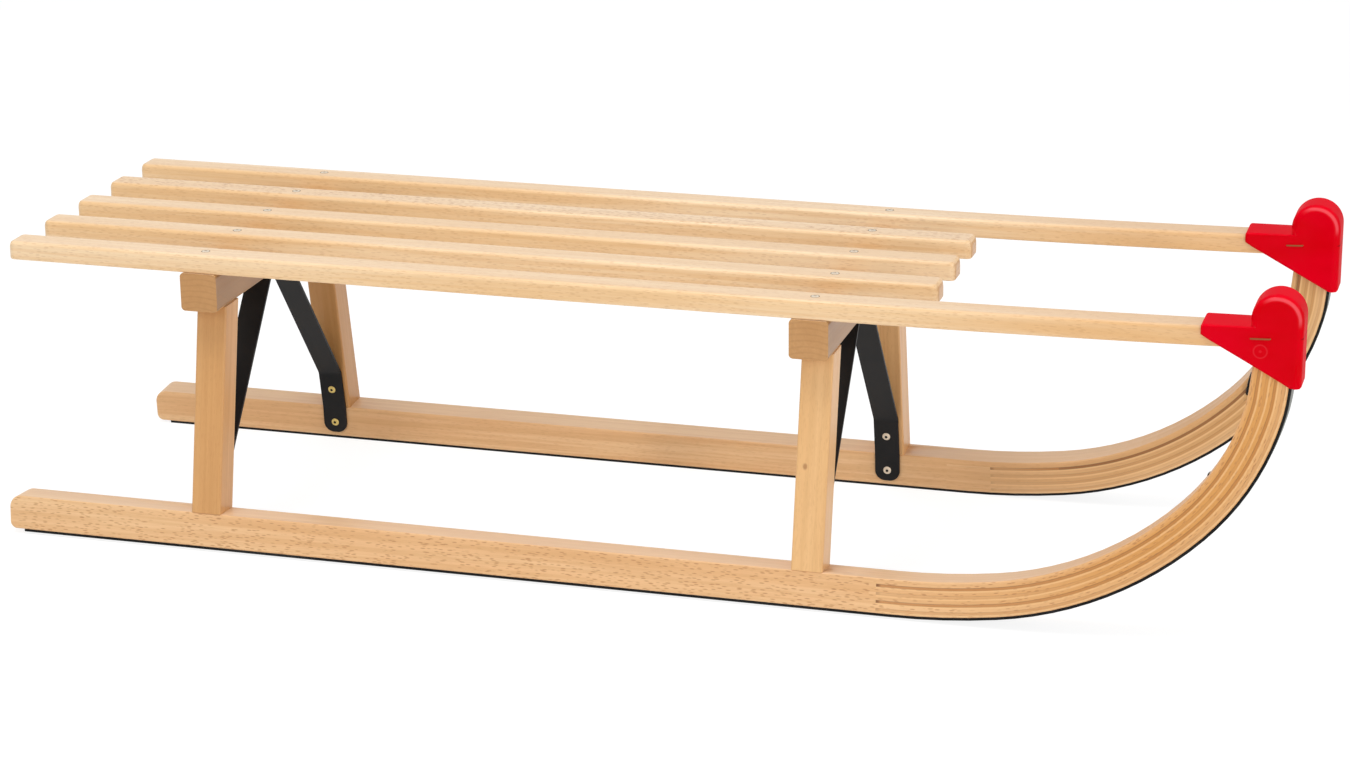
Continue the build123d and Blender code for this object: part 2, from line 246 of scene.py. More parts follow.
class Tree:
    """A material with one Principled shader, and short names for the nodes that feed it.

    Every method takes numbers or sockets, and gives back a socket.
    """

    def __init__(self, name):
        self.material = bpy.data.materials.new(name)
        self.material.use_nodes = True
        self.nodes = self.material.node_tree.nodes
        self.links = self.material.node_tree.links
        self.nodes.clear()
        self.out = self.nodes.new("ShaderNodeOutputMaterial")
        self.shader = self.nodes.new("ShaderNodeBsdfPrincipled")
        self.links.new(self.shader.outputs[0], self.out.inputs["Surface"])

    def put(self, socket, value):
        """Links a socket into an input, or sets the input to a value."""
        if isinstance(value, bpy.types.NodeSocket):
            self.links.new(value, socket)
        elif value is not None:
            socket.default_value = value

    def set(self, **values):
        """Sets inputs of the shader; underscores stand for spaces."""
        for name, value in values.items():
            self.put(self.shader.inputs[name.replace("_", " ")], value)

    def math(self, op, a, b=None, c=None):
        n = self.nodes.new("ShaderNodeMath")
        n.operation = op
        for socket, value in zip(n.inputs, (a, b, c)):
            self.put(socket, value)
        return n.outputs[0]

    def add(self, a, b):
        return self.math("ADD", a, b)

    def sub(self, a, b):
        return self.math("SUBTRACT", a, b)

    def mul(self, a, b):
        return self.math("MULTIPLY", a, b)

    def abs(self, a):
        return self.math("ABSOLUTE", a)

    def above(self, a, limit):
        """1 where a is greater than the limit, or else 0."""
        return self.math("GREATER_THAN", a, limit)

    def gap(self, a, b):
        """Distance between two numbers."""
        return self.abs(self.sub(a, b))

    def hypot(self, a, b):
        return self.math("SQRT", self.add(self.mul(a, a), self.mul(b, b)))

    def pick(self, mask, a, b):
        """a where the mask is 1, and b where it is 0."""
        return self.add(self.mul(mask, a), self.mul(self.sub(1.0, mask), b))

    def ramp(self, value, low, high, out_low=0.0, out_high=1.0):
        """Smooth step of value from low to high."""
        n = self.nodes.new("ShaderNodeMapRange")
        n.interpolation_type = "SMOOTHSTEP"
        inputs = {
            "Value": value,
            "From Min": low,
            "From Max": high,
            "To Min": out_low,
            "To Max": out_high,
        }
        for name, v in inputs.items():
            self.put(n.inputs[name], v)
        return n.outputs[0]

    def mix(self, factor, a, b):
        """Colour a moved towards colour b by a factor."""
        n = self.nodes.new("ShaderNodeMix")
        n.data_type = "RGBA"
        # A mix node has sockets for every data type; 6, 7 and output 2 are its colours
        self.put(n.inputs[0], factor)
        self.put(n.inputs[6], a)
        self.put(n.inputs[7], b)
        return n.outputs[2]

    def tint(self, colour, amount, tone):
        """The colour moved towards an 8-bit display colour by an amount."""
        return self.mix(amount, colour, srgb(*tone))

    def position(self):
        return self.nodes.new("ShaderNodeTexCoord").outputs["Object"]

    def normal(self):
        return self.nodes.new("ShaderNodeNewGeometry").outputs["True Normal"]

    def object_random(self):
        """A number from 0 to 1 that differs between objects."""
        return self.nodes.new("ShaderNodeObjectInfo").outputs["Random"]

    def split(self, vector):
        n = self.nodes.new("ShaderNodeSeparateXYZ")
        self.put(n.inputs[0], vector)
        return n.outputs[0], n.outputs[1], n.outputs[2]

    def join(self, x, y, z):
        n = self.nodes.new("ShaderNodeCombineXYZ")
        for socket, value in zip(n.inputs, (x, y, z)):
            self.put(socket, value)
        return n.outputs[0]

    def scaled(self, vector, x, y, z):
        n = self.nodes.new("ShaderNodeVectorMath")
        n.operation = "MULTIPLY"
        self.put(n.inputs[0], vector)
        n.inputs[1].default_value = (x, y, z)
        return n.outputs[0]

    def noise(self, vector, scale=1.0, detail=2.0, rough=0.5):
        n = self.nodes.new("ShaderNodeTexNoise")
        self.put(n.inputs["Vector"], vector)
        n.inputs["Scale"].default_value = scale
        n.inputs["Detail"].default_value = detail
        n.inputs["Roughness"].default_value = rough
        return n.outputs["Fac"]

    def cells(self, vector):
        """Distance to the nearest of many scattered points."""
        n = self.nodes.new("ShaderNodeTexVoronoi")
        self.put(n.inputs["Vector"], vector)
        n.inputs["Scale"].default_value = 1.0
        return n.outputs["Distance"]

    def bump(self, height, distance, strength):
        n = self.nodes.new("ShaderNodeBump")
        n.inputs["Strength"].default_value = strength
        n.inputs["Distance"].default_value = distance
        self.put(n.inputs["Height"], height)
        self.put(self.shader.inputs["Normal"], n.outputs[0])


# ---------------------------------------------------------------- grain directions
# Each gives the distance along the grain and two distances across it, as sockets.


def along_slat(t):
    x, y, z = t.split(t.position())
    return x, z, y


def along_crossbar(t):
    x, y, z = t.split(t.position())
    return y, z, x


def along_leg(t):
    x, y, z = t.split(t.position())
    side = t.abs(y)
    c, s = math.cos(LEG_LEAN), math.sin(LEG_LEAN)
    return t.sub(t.mul(z, c), t.mul(side, s)), t.add(t.mul(side, c), t.mul(z, s)), x


def along_runner(t):
    """Distance ahead of the bend's start, height above the sole, and distance across."""
    x, y, z = t.split(t.position())
    dy = t.sub(t.abs(y), RUN_Y)
    dz = t.sub(z, SOLE)
    h = t.sub(t.mul(dz, math.cos(LEAN)), t.mul(dy, math.sin(LEAN)))
    w = t.add(t.mul(dy, math.cos(LEAN)), t.mul(dz, math.sin(LEAN)))
    s = t.sub(x, BEND_START)
    begun = 0.0
    along, height = s, h
    for radius, turn in BEND_ARCS:
        # Seen from the arc's centre, then turned so that the next arc starts along x again
        angle = math.radians(turn)
        up = t.sub(radius, h)
        phi = t.math("ARCTAN2", s, up)
        inside = t.above(phi, 0.0)
        along = t.pick(inside, t.add(t.mul(phi, radius), begun), along)
        height = t.pick(inside, t.sub(radius, t.hypot(s, up)), height)
        begun += radius * angle
        ca, sa = math.cos(angle), math.sin(angle)
        turned_up = t.add(t.mul(s, sa), t.mul(up, ca))
        s = t.sub(t.mul(s, ca), t.mul(up, sa))
        h = t.sub(radius, turned_up)
    last = t.above(s, 0.0)
    return t.pick(last, t.add(s, begun), along), t.pick(last, h, height), w


# ---------------------------------------------------------------- wood
# In these functions g holds the place in the grain (along, up, across), the place in the sled
# (x, y, z), the direction of the face (nx, ny, nz) and left, which is 1 on the sled's left half.
# A tint takes the colour and the mask of the ray flecks, and gives both back.


def runner_tints(t, g, colour, ray):
    # Flecks only on the sides, and few on the left runner
    sides = t.ramp(t.abs(g.ny), 0.4, 0.8)
    ray = t.mul(ray, t.mul(sides, t.sub(1.0, t.mul(g.left, 0.75))))
    # Painted light: the bends are tinted more golden than the straight parts, the right one most
    # in its middle
    golden = t.mix(g.left, srgb(*RIGHT_BEND_GOLD), srgb(*LEFT_BEND_GOLD))
    middle = t.ramp(t.gap(g.up, GOLD_HEIGHT), 0.0125, 0.0075)
    amount = t.mul(t.ramp(g.along, *GOLD_REACH), t.add(0.45, t.mul(middle, 0.42)))
    return t.mix(amount, colour, golden), ray


def slat_tints(t, g, colour, ray):
    # The left inner slat's top is speckled, and the outer slats turn warmer towards the caps
    inner_left = t.math("COMPARE", g.y, SLAT_PITCH, 0.015)
    speckled = t.mul(inner_left, t.ramp(g.nz, 0.7, 0.95))
    ray = t.mul(ray, t.add(1.0, t.mul(speckled, 2.0)))
    return t.tint(colour, t.mul(t.ramp(g.x, *WARM_REACH), 0.6), SLAT_FRONT_WARM), ray


def crossbar_tints(t, g, colour, ray):
    # Painted shade: the front faces are darker, as they lie in the shade of the slats
    return t.tint(colour, t.mul(t.ramp(g.nx, 0.7, 0.95), 0.7), BAR_FRONT_SHADE), ray


def leg_tints(t, g, colour, ray):
    # Each leg has its own tone, partly from its board and partly painted shade: the left legs
    # are darker than the right ones, and the left rear leg, in the shade of its brace, is
    # darkest
    front = t.above(g.x, 0.0)
    darker = t.mul(t.sub(1.0, front), t.add(0.35, t.mul(g.left, 0.35)))
    paler = t.mul(front, t.sub(0.5, t.mul(g.left, 0.5)))
    colour = t.tint(colour, darker, REAR_LEG_TONE_AND_SHADE)
    colour = t.tint(colour, paler, FRONT_LEG_PALE)
    # A pin knot on the outside of the right front leg
    off = t.hypot(t.sub(g.x, KNOT_X), t.mul(t.sub(g.z, KNOT_Z), 0.7))
    knot = t.mul(t.ramp(off, 0.0026, 0.0008), t.math("LESS_THAN", g.y, -0.13))
    return t.tint(colour, t.mul(knot, 0.6), KNOT_BROWN), ray


def sawn_ends(t, g, kind, colour):
    """Growth rings where the grain is cut across."""
    across = g.across
    if kind == "crossbar":
        middle = (BAR_X[0] + BAR_X[1]) / 2
        across = t.sub(t.gap(across, middle), (BAR_X[1] - BAR_X[0]) / 2)
    facing = t.abs(g.ny if kind == "crossbar" else g.nx)
    if kind == "runner":
        facing = t.mul(facing, t.math("LESS_THAN", g.along, 0.0))
    end = t.ramp(facing, 0.75, 0.95)
    from_heart = t.add(t.sub(g.up, HEART_HEIGHT), t.mul(t.object_random(), 0.02))
    wobble = t.mul(t.noise(t.scaled(g.shifted, *RING_WOBBLE)), 4.0)
    rings = t.math("SINE", t.add(t.mul(t.hypot(across, from_heart), RING_WAVE), wobble))
    colour = t.tint(colour, t.mul(end, 0.6), SAWN_END)
    return t.tint(colour, t.mul(end, t.mul(t.ramp(rings, 0.2, 1.0), 0.16)), RING_BROWN)


def veneer_lines(t, g, colour):
    """Veneers browner than the wood, a glue line above and a pale line below each, and painted
    shade at each cut's mouth.
    """
    half = VENEER_T / 2
    later = t.add(RIGHT_CUT_LATER, t.mul(g.left, LEFT_CUT_LATER - RIGHT_CUT_LATER))
    begin = t.add(CUT_START - BEND_START, later)
    ahead = t.sub(g.along, begin)
    in_cut = t.above(g.along, begin)
    # The left runner's cuts start faint
    left_grown = t.mul(g.left, t.ramp(ahead, 0.0, 0.09, 0.45, 1.0))
    right = t.sub(1.0, g.left)
    for height, right_tone, left_tone in VENEERS:
        tone = t.add(t.mul(left_grown, left_tone), t.mul(right, right_tone))
        body = t.mul(t.ramp(t.gap(g.up, height), half + 0.0002, half - 0.0002), in_cut)
        below = t.mul(t.ramp(t.gap(g.up, height - half - 0.0009), 0.0010, 0.0003), in_cut)
        glue = t.mul(t.ramp(t.gap(g.up, height + half), 0.0005, 0.0001), in_cut)
        # Painted shade in the mouth where the cut begins
        mouth = t.mul(body, t.ramp(ahead, 0.005, 0.001))
        # The brownest one is a darker brown still
        veneer = t.mix(t.above(tone, 0.8), srgb(*VENEER_BROWN), srgb(*DARKEST_VENEER_BROWN))
        colour = t.tint(colour, t.mul(below, 0.45), BESIDE_VENEER)
        colour = t.mix(t.mul(body, tone), colour, veneer)
        colour = t.tint(colour, t.mul(glue, t.mul(tone, 0.6)), GLUE_BROWN)
        colour = t.tint(colour, t.mul(mouth, tone), PAINTED_MOUTH_SHADE)
    return colour


GRAIN = {
    "slat": along_slat,
    "crossbar": along_crossbar,
    "leg": along_leg,
    "runner": along_runner,
}
TINTS = {
    "slat": slat_tints,
    "crossbar": crossbar_tints,
    "leg": leg_tints,
    "runner": runner_tints,
}


def wood(name, kind, tones, flecks):
    """Lacquered beech: soft streaks, fine pores and short dark ray flecks along the grain.

    kind is the part it is for, and flecks is how strongly the ray flecks show.
    """
    base, pale, warm = (srgb(*tone) for tone in tones)
    t = Tree(name)
    g = SimpleNamespace()
    g.along, g.up, g.across = GRAIN[kind](t)
    g.x, g.y, g.z = t.split(t.position())
    g.nx, g.ny, g.nz = t.split(t.normal())
    g.left = t.above(g.y, 0.0)

    # Every piece takes its figure from another place, and the figure wanders a little
    shift = t.mul(t.object_random(), 7.3)
    along, up, across = (t.add(v, shift) for v in (g.along, g.up, g.across))
    g.shifted = t.join(along, up, across)
    wander = t.mul(t.noise(t.scaled(g.shifted, *WANDER), detail=1.0), 0.006)
    figure = t.join(along, t.add(up, wander), t.add(across, wander))

    broad = t.noise(t.scaled(figure, *STREAKS), detail=2.0)
    lines = t.ramp(t.noise(t.scaled(figure, *LINES), detail=3.0, rough=0.6), 0.34, 0.66)
    pores = t.noise(t.scaled(figure, *PORES), detail=1.0)
    fleck = t.ramp(t.cells(t.scaled(figure, *FLECKS)), 0.40, 0.18)
    chosen = t.ramp(t.noise(t.scaled(figure, *FLECK_PATCHES), detail=1.0), 0.24, 0.46)
    ray = t.mul(fleck, chosen)

    colour = t.mix(t.ramp(broad, 0.36, 0.64), base, pale)
    colour = t.mix(t.mul(t.sub(1.0, lines), 0.55), colour, warm)
    colour, ray = TINTS[kind](t, g, colour, ray)
    # Painted sheen: upward faces are tinted paler, as if their lacquer caught the light
    colour = t.tint(colour, t.mul(t.ramp(g.nz, 0.80, 0.98), 0.35), TOP_PAINTED_SHEEN)
    colour = t.tint(colour, t.mul(ray, flecks), FLECK_BROWN)
    colour = t.tint(colour, t.mul(t.ramp(pores, 0.56, 0.70), 0.14), FLECK_BROWN)
    if kind != "leg":
        colour = sawn_ends(t, g, kind, colour)
    if kind == "runner":
        colour = veneer_lines(t, g, colour)

    sheen = t.noise(t.scaled(figure, *SHEEN))
    relief = t.add(t.mul(lines, 0.5), t.add(t.mul(pores, 0.35), t.mul(ray, -0.4)))
    t.bump(relief, 0.00022, 0.35)
    t.set(Base_Color=colour, Roughness=t.add(0.32, t.mul(sheen, 0.16)))
    t.set(Specular_IOR_Level=0.3, Coat_Weight=0.15, Coat_Roughness=0.22)
    return t.material


# ---------------------------------------------------------------- steel and plastic


def black_steel(name, value, rough, wear_and_reflection=0.0):
    """Painted or oiled black steel with a fine uneven skin. value is its 8-bit grey."""
    t = Tree(name)
    p = t.position()
    cloud = t.noise(p, scale=22.0, detail=3.0)
    fine = t.noise(p, scale=900.0, detail=2.0)
    colour = t.tint(
        srgb(value, value, value + 1),
        t.ramp(cloud, 0.3, 0.7),
        (value + 9, value + 8, value + 8),
    )
    if wear_and_reflection:
        streak = t.noise(t.scaled(p, 9.0, 700.0, 700.0), detail=2.0)
        colour = t.tint(colour, t.mul(t.ramp(streak, 0.55, 0.75), wear_and_reflection), WORN_GREY)
        # Painted reflection: faces looking forward, on the outside of the bend, are tinted grey
        # as they would reflect pale surroundings
        nx, ny, nz = t.split(t.normal())
        colour = t.tint(colour, t.mul(t.ramp(nx, 0.35, 0.8), 0.6), REFLECTION_GREY)
    t.bump(t.add(t.mul(fine, 0.7), t.mul(cloud, 0.3)), 0.00008, 0.4)
    t.set(Base_Color=colour, Roughness=t.add(rough, t.mul(t.sub(cloud, 0.5), 0.2)))
    t.set(Specular_IOR_Level=0.1)
    return t.material


def red_plastic():
    """Moulded red plastic with a faint pebbled skin and flow marks."""
    t = Tree("cap_red_plastic")
    p = t.position()
    x, y, z = t.split(p)
    nx, ny, nz = t.split(t.normal())
    flow = t.noise(t.scaled(p, 14.0, 14.0, 30.0), detail=2.0)
    fine = t.noise(p, scale=1400.0, detail=1.0)
    colour = t.tint(srgb(*CAP_RED), t.ramp(flow, 0.3, 0.7), CAP_FLOW_RED)
    # A round moulding mark on each outer face
    away = t.hypot(t.sub(x, MARK_X), t.sub(z, MARK_Z))
    outer = t.above(t.mul(ny, y), 0.1)
    ring = t.mul(outer, t.ramp(t.gap(away, MARK_R), 0.0009, 0.0002))
    pip = t.mul(outer, t.ramp(away, 0.0014, 0.0008))
    colour = t.tint(colour, t.mul(t.add(ring, pip), 0.14), CAP_MARK_PINK)
    # Painted light: tops are a brighter red, and the rims of the domes get a pale painted
    # highlight
    colour = t.tint(colour, t.mul(t.ramp(nz, 0.2, 0.9), 0.7), CAP_TOP_PAINTED_LIGHT)
    side_on = t.abs(ny)
    rim = t.mul(t.ramp(side_on, 0.98, 0.90), t.ramp(side_on, 0.60, 0.78))
    on_dome = t.mul(t.ramp(z, *RIM_HIGHLIGHT_REACH), t.ramp(t.add(nx, nz), 0.0, 0.5))
    colour = t.tint(colour, t.mul(t.mul(rim, on_dome), 0.4), CAP_RIM_PAINTED_HIGHLIGHT)
    # A slit across the front, drawn only as a dark line of painted shade
    slit = t.mul(t.ramp(nx, 0.6, 0.9), t.ramp(t.gap(z, SLIT_Z), 0.0006, 0.0003))
    colour = t.tint(colour, t.mul(slit, 0.75), CAP_SLIT_SHADE)
    skin = t.add(t.mul(fine, 0.15), t.mul(flow, 0.1))
    t.bump(t.add(skin, t.mul(ring, -0.8)), 0.0003, 0.35)
    t.set(Base_Color=colour, Roughness=t.add(0.34, t.mul(flow, 0.08)))
    t.set(Specular_IOR_Level=0.0, Coat_Weight=0.12, Coat_IOR=1.33, Coat_Roughness=0.12)
    return t.material


def metal(name, tone, rough):
    """Plated steel, finely brushed. tone is an 8-bit display colour."""
    t = Tree(name)
    p = t.position()
    cloud = t.noise(p, scale=300.0, detail=2.0)
    colour = srgb(*tone)
    dull = (*(c * 0.72 for c in colour[:3]), 1.0)
    t.bump(t.noise(p, scale=4000.0), 0.00003, 0.3)
    t.set(Base_Color=t.mix(cloud, dull, colour), Metallic=0.55)
    t.set(Roughness=t.add(rough, t.mul(cloud, 0.15)))
    return t.material


slat_wood = wood("beech_slats", "slat", SLAT_TONES, 0.22)
bar_wood = wood("beech_crossbars", "crossbar", BAR_TONES, 0.1)
leg_wood = wood("beech_legs", "leg", LEG_TONES, 0.12)
runner_wood = wood("beech_runners", "runner", RUNNER_TONES, 0.64)
veneer_wood = wood("beech_veneers", "runner", RUNNER_TONES, 0.2)
brace_black = black_steel("brace_powder_coat", 28, 0.42)
shoe_black = black_steel("shoe_black_steel", 22, 0.38, wear_and_reflection=0.2)
eye_black = black_steel("eye_black_steel", 14, 0.2)
cap_red = red_plastic()
zinc = metal("zinc_plate", (232, 214, 190), 0.34)
bright_zinc = metal("bright_zinc_plate", (244, 232, 214), 0.4)
yellow_zinc = metal("yellow_zinc_plate", (228, 200, 118), 0.3)
copper = metal("coppered_wire", (158, 88, 46), 0.45)
# Painted shade for the screws' recesses and countersinks
recess_shade = black_steel("screw_recess_shade", 40, 0.6)
warm_countersink_shade = metal("countersink_shade", (150, 122, 96), 0.6)

# Materials of the CAD's own nodes, by the first word of the node's name
LOOK = {
    "runner": runner_wood,
    "bend": veneer_wood,
    "leg": leg_wood,
    "crossbar": bar_wood,
    "slat": slat_wood,
    "brace": brace_black,
    "shoe": shoe_black,
    "rope": eye_black,
    "cap": cap_red,
}
for name, obj in nodes.items():
    kind = name.split("_")[0]
    for slot in obj.material_slots:
        slot.link = "OBJECT"
        slot.material = LOOK[kind]
    if kind in EDGE_WIDTH:
        weld = obj.modifiers.new("weld", "WELD")
        weld.merge_threshold = 0.000002
        bevel = obj.modifiers.new("edge", "BEVEL")
        bevel.width = EDGE_WIDTH[kind]
        bevel.segments = 3
        bevel.limit_method = "ANGLE"
        bevel.angle_limit = math.radians(40)
        bevel.harden_normals = True


# ---------------------------------------------------------------- building pieces


def add_piece(name, bm, materials):
    """Turns a bmesh into a smooth-shaded piece of the sled."""
    mesh = bpy.data.meshes.new(name)
    bmesh.ops.recalc_face_normals(bm, faces=bm.faces)
    bm.to_mesh(mesh)
    bm.free()
    for poly in mesh.polygons:
        poly.use_smooth = True
    obj = bpy.data.objects.new(name, mesh)
    scene.collection.objects.link(obj)
    mesh.set_sharp_from_angle(angle=math.radians(35))
    for material in materials:
        mesh.materials.append(material)
    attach(obj, "root")
    return obj


def show_instead(name, bm, material, node):
    """Adds a piece that stands in for a CAD node, with its flat faces shaded flat."""
    obj = add_piece(name, bm, [material])
    flat = obj.modifiers.new("flat_faces", "WEIGHTED_NORMAL")
    flat.keep_sharp = True
    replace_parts(obj, node)


def join_rings(bm, rings):
    """Joins rings of vertices with faces, in rows."""
    count = len(rings[0])
    rows = []
    for r0, r1 in zip(rings, rings[1:]):
        row = []
        for k in range(count):
            after = (k + 1) % count
            row.append(bm.faces.new((r0[k], r0[after], r1[after], r1[k])))
        rows.append(row)
    return rows


def runner_axes(side):
    """Upward and outward directions of a runner. side is -1 on the right and 1 on the left."""
    up = Vector((0, -side * math.sin(LEAN), math.cos(LEAN)))
    out = Vector((0, side * math.cos(LEAN), math.sin(LEAN)))
    return up, out


def runner_point(side, x, h, w):
    """Point of a runner: h is the height above its sole, and w is positive outward."""
    up, out = runner_axes(side)
    return Vector((x, side * RUN_Y, SOLE)) + up * h + out * w


# ---------------------------------------------------------------- screws


def screw_head(bm, point, normal, turn, radius, dome, recess, gap=0.00005):
    """A screw head with a six-pointed star recess, in a countersink; both are dark with painted
    shade.
    """
    facing = Vector(normal).normalized().to_track_quat("Z", "Y").to_matrix().to_4x4()
    matrix = Matrix.Translation(Vector(point)) @ facing @ Matrix.Rotation(turn, 4, "Z")
    count = 24
    star_out, star_in = radius * 0.44, radius * 0.30
    star_mid = (star_out + star_in) / 2
    star = [(star_out, star_mid, star_in, star_mid)[i % 4] for i in range(count)]
    # Radii and height of each ring, from the bottom of the countersink to the recess's floor
    profile = (
        ([radius + gap] * count, -0.0010),
        ([radius + gap] * count, 0.00004),
        ([radius] * count, 0.00005),
        ([radius * 0.94] * count, dome * 0.45),
        ([radius * 0.72] * count, dome * 0.85),
        (star, dome),
        (star, dome - recess),
    )
    rings = []
    for radii, z in profile:
        ring = []
        for i, r in enumerate(radii):
            a = 2 * math.pi * i / count
            ring.append(bm.verts.new(matrix @ Vector((r * math.cos(a), r * math.sin(a), z))))
        rings.append(ring)
    rows = join_rings(bm, rings)
    # The countersink and the recess take the second material, a dark painted shade
    for row in (rows[0], rows[1], rows[-1]):
        for face in row:
            face.material_index = 1
    bm.faces.new(rings[-1]).material_index = 1
    bm.faces.new(list(reversed(rings[0])))


# One screw in every slat over each crossbar
bm = bmesh.new()
turn = 0.0
for place in range(-2, 3):
    for x in SLAT_SCREW_X:
        turn += 1.1
        screw_head(bm, (x, place * SLAT_PITCH, SLAT_TOP), (0, 0, 1), turn, **SLAT_SCREW)
add_piece("slat_screws", bm, [bright_zinc, warm_countersink_shade])

# Screws of the braces: into the runner, the leg and the crossbar
for name, bar_x, finish in (
    ("brace_screws_rear", BAR_X[0], yellow_zinc),
    ("brace_screws_front", BAR_X[1], zinc),
):
    x = bar_x + STRAP_AHEAD
    bm = bmesh.new()
    for side in (-1, 1):
        foot = runner_point(side, x, FOOT_SCREW_H, -RUN_W / 2 - STRAP_T - HEAD_CLEARANCE)
        screw_head(bm, foot, -runner_axes(side)[1], 0.4, **FOOT_SCREW)
        shoulder = runner_point(side, x, RUN_H, 0.0)
        reach = (LEG_D / 2 + STRAP_T + HEAD_CLEARANCE) / math.cos(LEG_LEAN)
        inset = (LEG_SCREW_Z - shoulder.z) * math.tan(LEG_LEAN) + reach
        inward = (0, -side * math.cos(LEG_LEAN), -math.sin(LEG_LEAN))
        place = (x, shoulder.y - side * inset, LEG_SCREW_Z)
        screw_head(bm, place, inward, 1.0, **FOOT_SCREW)
    for y in (-BAR_SCREW_Y, BAR_SCREW_Y):
        screw_head(bm, (x, y, BAR_UNDER - STRAP_T), (0, 0, -1), 0.2, **BAR_SCREW)
    add_piece(name, bm, [finish, recess_shade])

# Countersunk screws in the soles
bm = bmesh.new()
for side in (-1, 1):
    for x in SOLE_SCREW_X:
        place = runner_point(side, x, SOLE_SCREW_H, 0.0)
        screw_head(bm, place, -runner_axes(side)[0], 0.3 + x, **SOLE_SCREW)
add_piece("shoe_screws", bm, [zinc, recess_shade])


# ---------------------------------------------------------------- staples and rope eyes


def wire(bm, points, radius, sides=8):
    """A round wire along points, closed at both ends."""
    rings = []
    for i, p in enumerate(points):
        ahead = points[min(i + 1, len(points) - 1)] - points[max(i - 1, 0)]
        q = ahead.normalized().to_track_quat("Z", "Y")
        ring = []
        for k in range(sides):
            a = 2 * math.pi * k / sides
            spoke = Vector((radius * math.cos(a), radius * math.sin(a), 0))
            ring.append(bm.verts.new(p + q @ spoke))
        rings.append(ring)
    join_rings(bm, rings)
    bm.faces.new(list(reversed(rings[0])))
    bm.faces.new(rings[-1])


# Staples that pin the caps to the slats, one on the outer and inner face of each cap
bm = bmesh.new()
for side in (-1, 1):
    for face, (rear, front) in STAPLE_X.items():
        surface = side * (CAP_Y + face * CAP_HALF)
        out = side * face
        # Along x, out of the surface, and up from the staple's rear end
        path = (
            (rear, -STAPLE_DEPTH, 0.0),
            (rear, 0.0001, 0.0),
            (rear + STAPLE_CORNER, STAPLE_STAND, 0.0001),
            (front - STAPLE_CORNER, STAPLE_STAND, STAPLE_SLANT - 0.0001),
            (front, 0.0001, STAPLE_SLANT),
            (front, -STAPLE_DEPTH, STAPLE_SLANT),
        )
        points = [Vector((x, surface + out * off, STAPLE_Z + up)) for x, off, up in path]
        wire(bm, points, STAPLE_WIRE_R)
add_piece("cap_staples", bm, [copper])

# Rope eyes as round bent wire, leaning with the bend
for side, node in ((-1, "rope_eye_right"), (1, "rope_eye_left")):
    bm = bmesh.new()
    up, out = runner_axes(side)
    centre = runner_point(side, EYE_X, EYE_H, -RUN_W / 2)
    up = up * math.cos(EYE_TILT) + Vector((math.sin(EYE_TILT), 0, 0))
    points = [centre - up * EYE_HALF + out * EYE_ROOT]
    for i in range(13):
        angle = math.pi * (i / 12 - 0.5)
        points.append(centre + (up * math.sin(angle) - out * math.cos(angle)) * EYE_HALF)
    points.append(centre + up * EYE_HALF + out * EYE_ROOT)
    wire(bm, points, EYE_WIRE_R, sides=12)
    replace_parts(add_piece(f"wire_{node}", bm, [eye_black]), node)


# ---------------------------------------------------------------- softened shapes
# The functions of an edge tell whether that edge of a CAD mesh is to be rounded.


def cap_rim(edge, side):
    """Whether the edge bounds one of the cap's two broad side faces."""
    return all(abs(abs(side * v.co.y - CAP_Y) - CAP_HALF) < 0.00002 for v in edge.verts)


def cap_cross_edge(edge, side):
    """Whether the edge runs across the cap at the sleeve's rear top or at the toe's bottom."""
    a, b = (v.co for v in edge.verts)
    across = abs(a.y - b.y) > 0.9 * (a - b).length
    sleeve_rear = a.x < SLEEVE_REAR_BEHIND and a.z > SLEEVE_TOP_ABOVE
    return across and (sleeve_rear or a.z < TOE_BELOW)


def leg_edge(edge, side):
    """Whether the edge is one of the leg's long edges."""
    a, b = (v.co for v in edge.verts)
    return abs(a.z - b.z) > 0.05


def unbent_height(x, h):
    """Height above the sole of a point at x and a height h, following the bend."""
    s = x - BEND_START
    for radius, turn in BEND_ARCS:
        if s <= 0.0:
            return h
        up, angle = radius - h, math.radians(turn)
        if math.atan2(s, up) < angle:
            return radius - math.hypot(s, up)
        ca, sa = math.cos(angle), math.sin(angle)
        s, up = s * ca - up * sa, s * sa + up * ca
        h = radius - up
    return h


def runner_rim(edge, side):
    """Whether the edge is one of the runner's long or rear rims, not the rim of a saw cut."""
    up, out = runner_axes(side)
    for v in edge.verts:
        from_sole = v.co - Vector((v.co.x, side * RUN_Y, SOLE))
        if abs(abs(from_sole.dot(out)) - RUN_W / 2) > 0.0001:
            return False
        h = unbent_height(v.co.x, from_sole.dot(up))
        if v.co.x > RUNNER_REAR_BEHIND and min(abs(h), abs(h - RUN_H)) > 0.0003:
            return False
    return True


def softened_copy(node, side, rounds, material):
    """The node's own shape with chosen edges rounded, shown in its place."""
    bm = bmesh.new()
    bm.from_mesh(nodes[node].data)
    bmesh.ops.remove_doubles(bm, verts=bm.verts, dist=0.000002)
    bmesh.ops.dissolve_limit(bm, angle_limit=0.0005, verts=bm.verts, edges=bm.edges)
    for offset, chosen in rounds:
        edges = [
            e
            for e in bm.edges
            if len(e.link_faces) == 2 and e.calc_face_angle() > 0.7 and chosen(e, side)
        ]
        bmesh.ops.bevel(
            bm,
            geom=edges,
            offset=offset,
            offset_type="OFFSET",
            segments=4,
            profile=0.5,
            affect="EDGES",
            clamp_overlap=False,
        )
    bmesh.ops.triangulate(bm, faces=bm.faces)
    show_instead(f"rounded_{node}", bm, material, node)


def drawn_in(radius, from_end):
    """How far a rounded end of a radius is drawn in, at a distance from the end."""
    left_over = max(0.0, radius - from_end)
    return radius - math.sqrt(max(0.0, radius * radius - left_over**2))


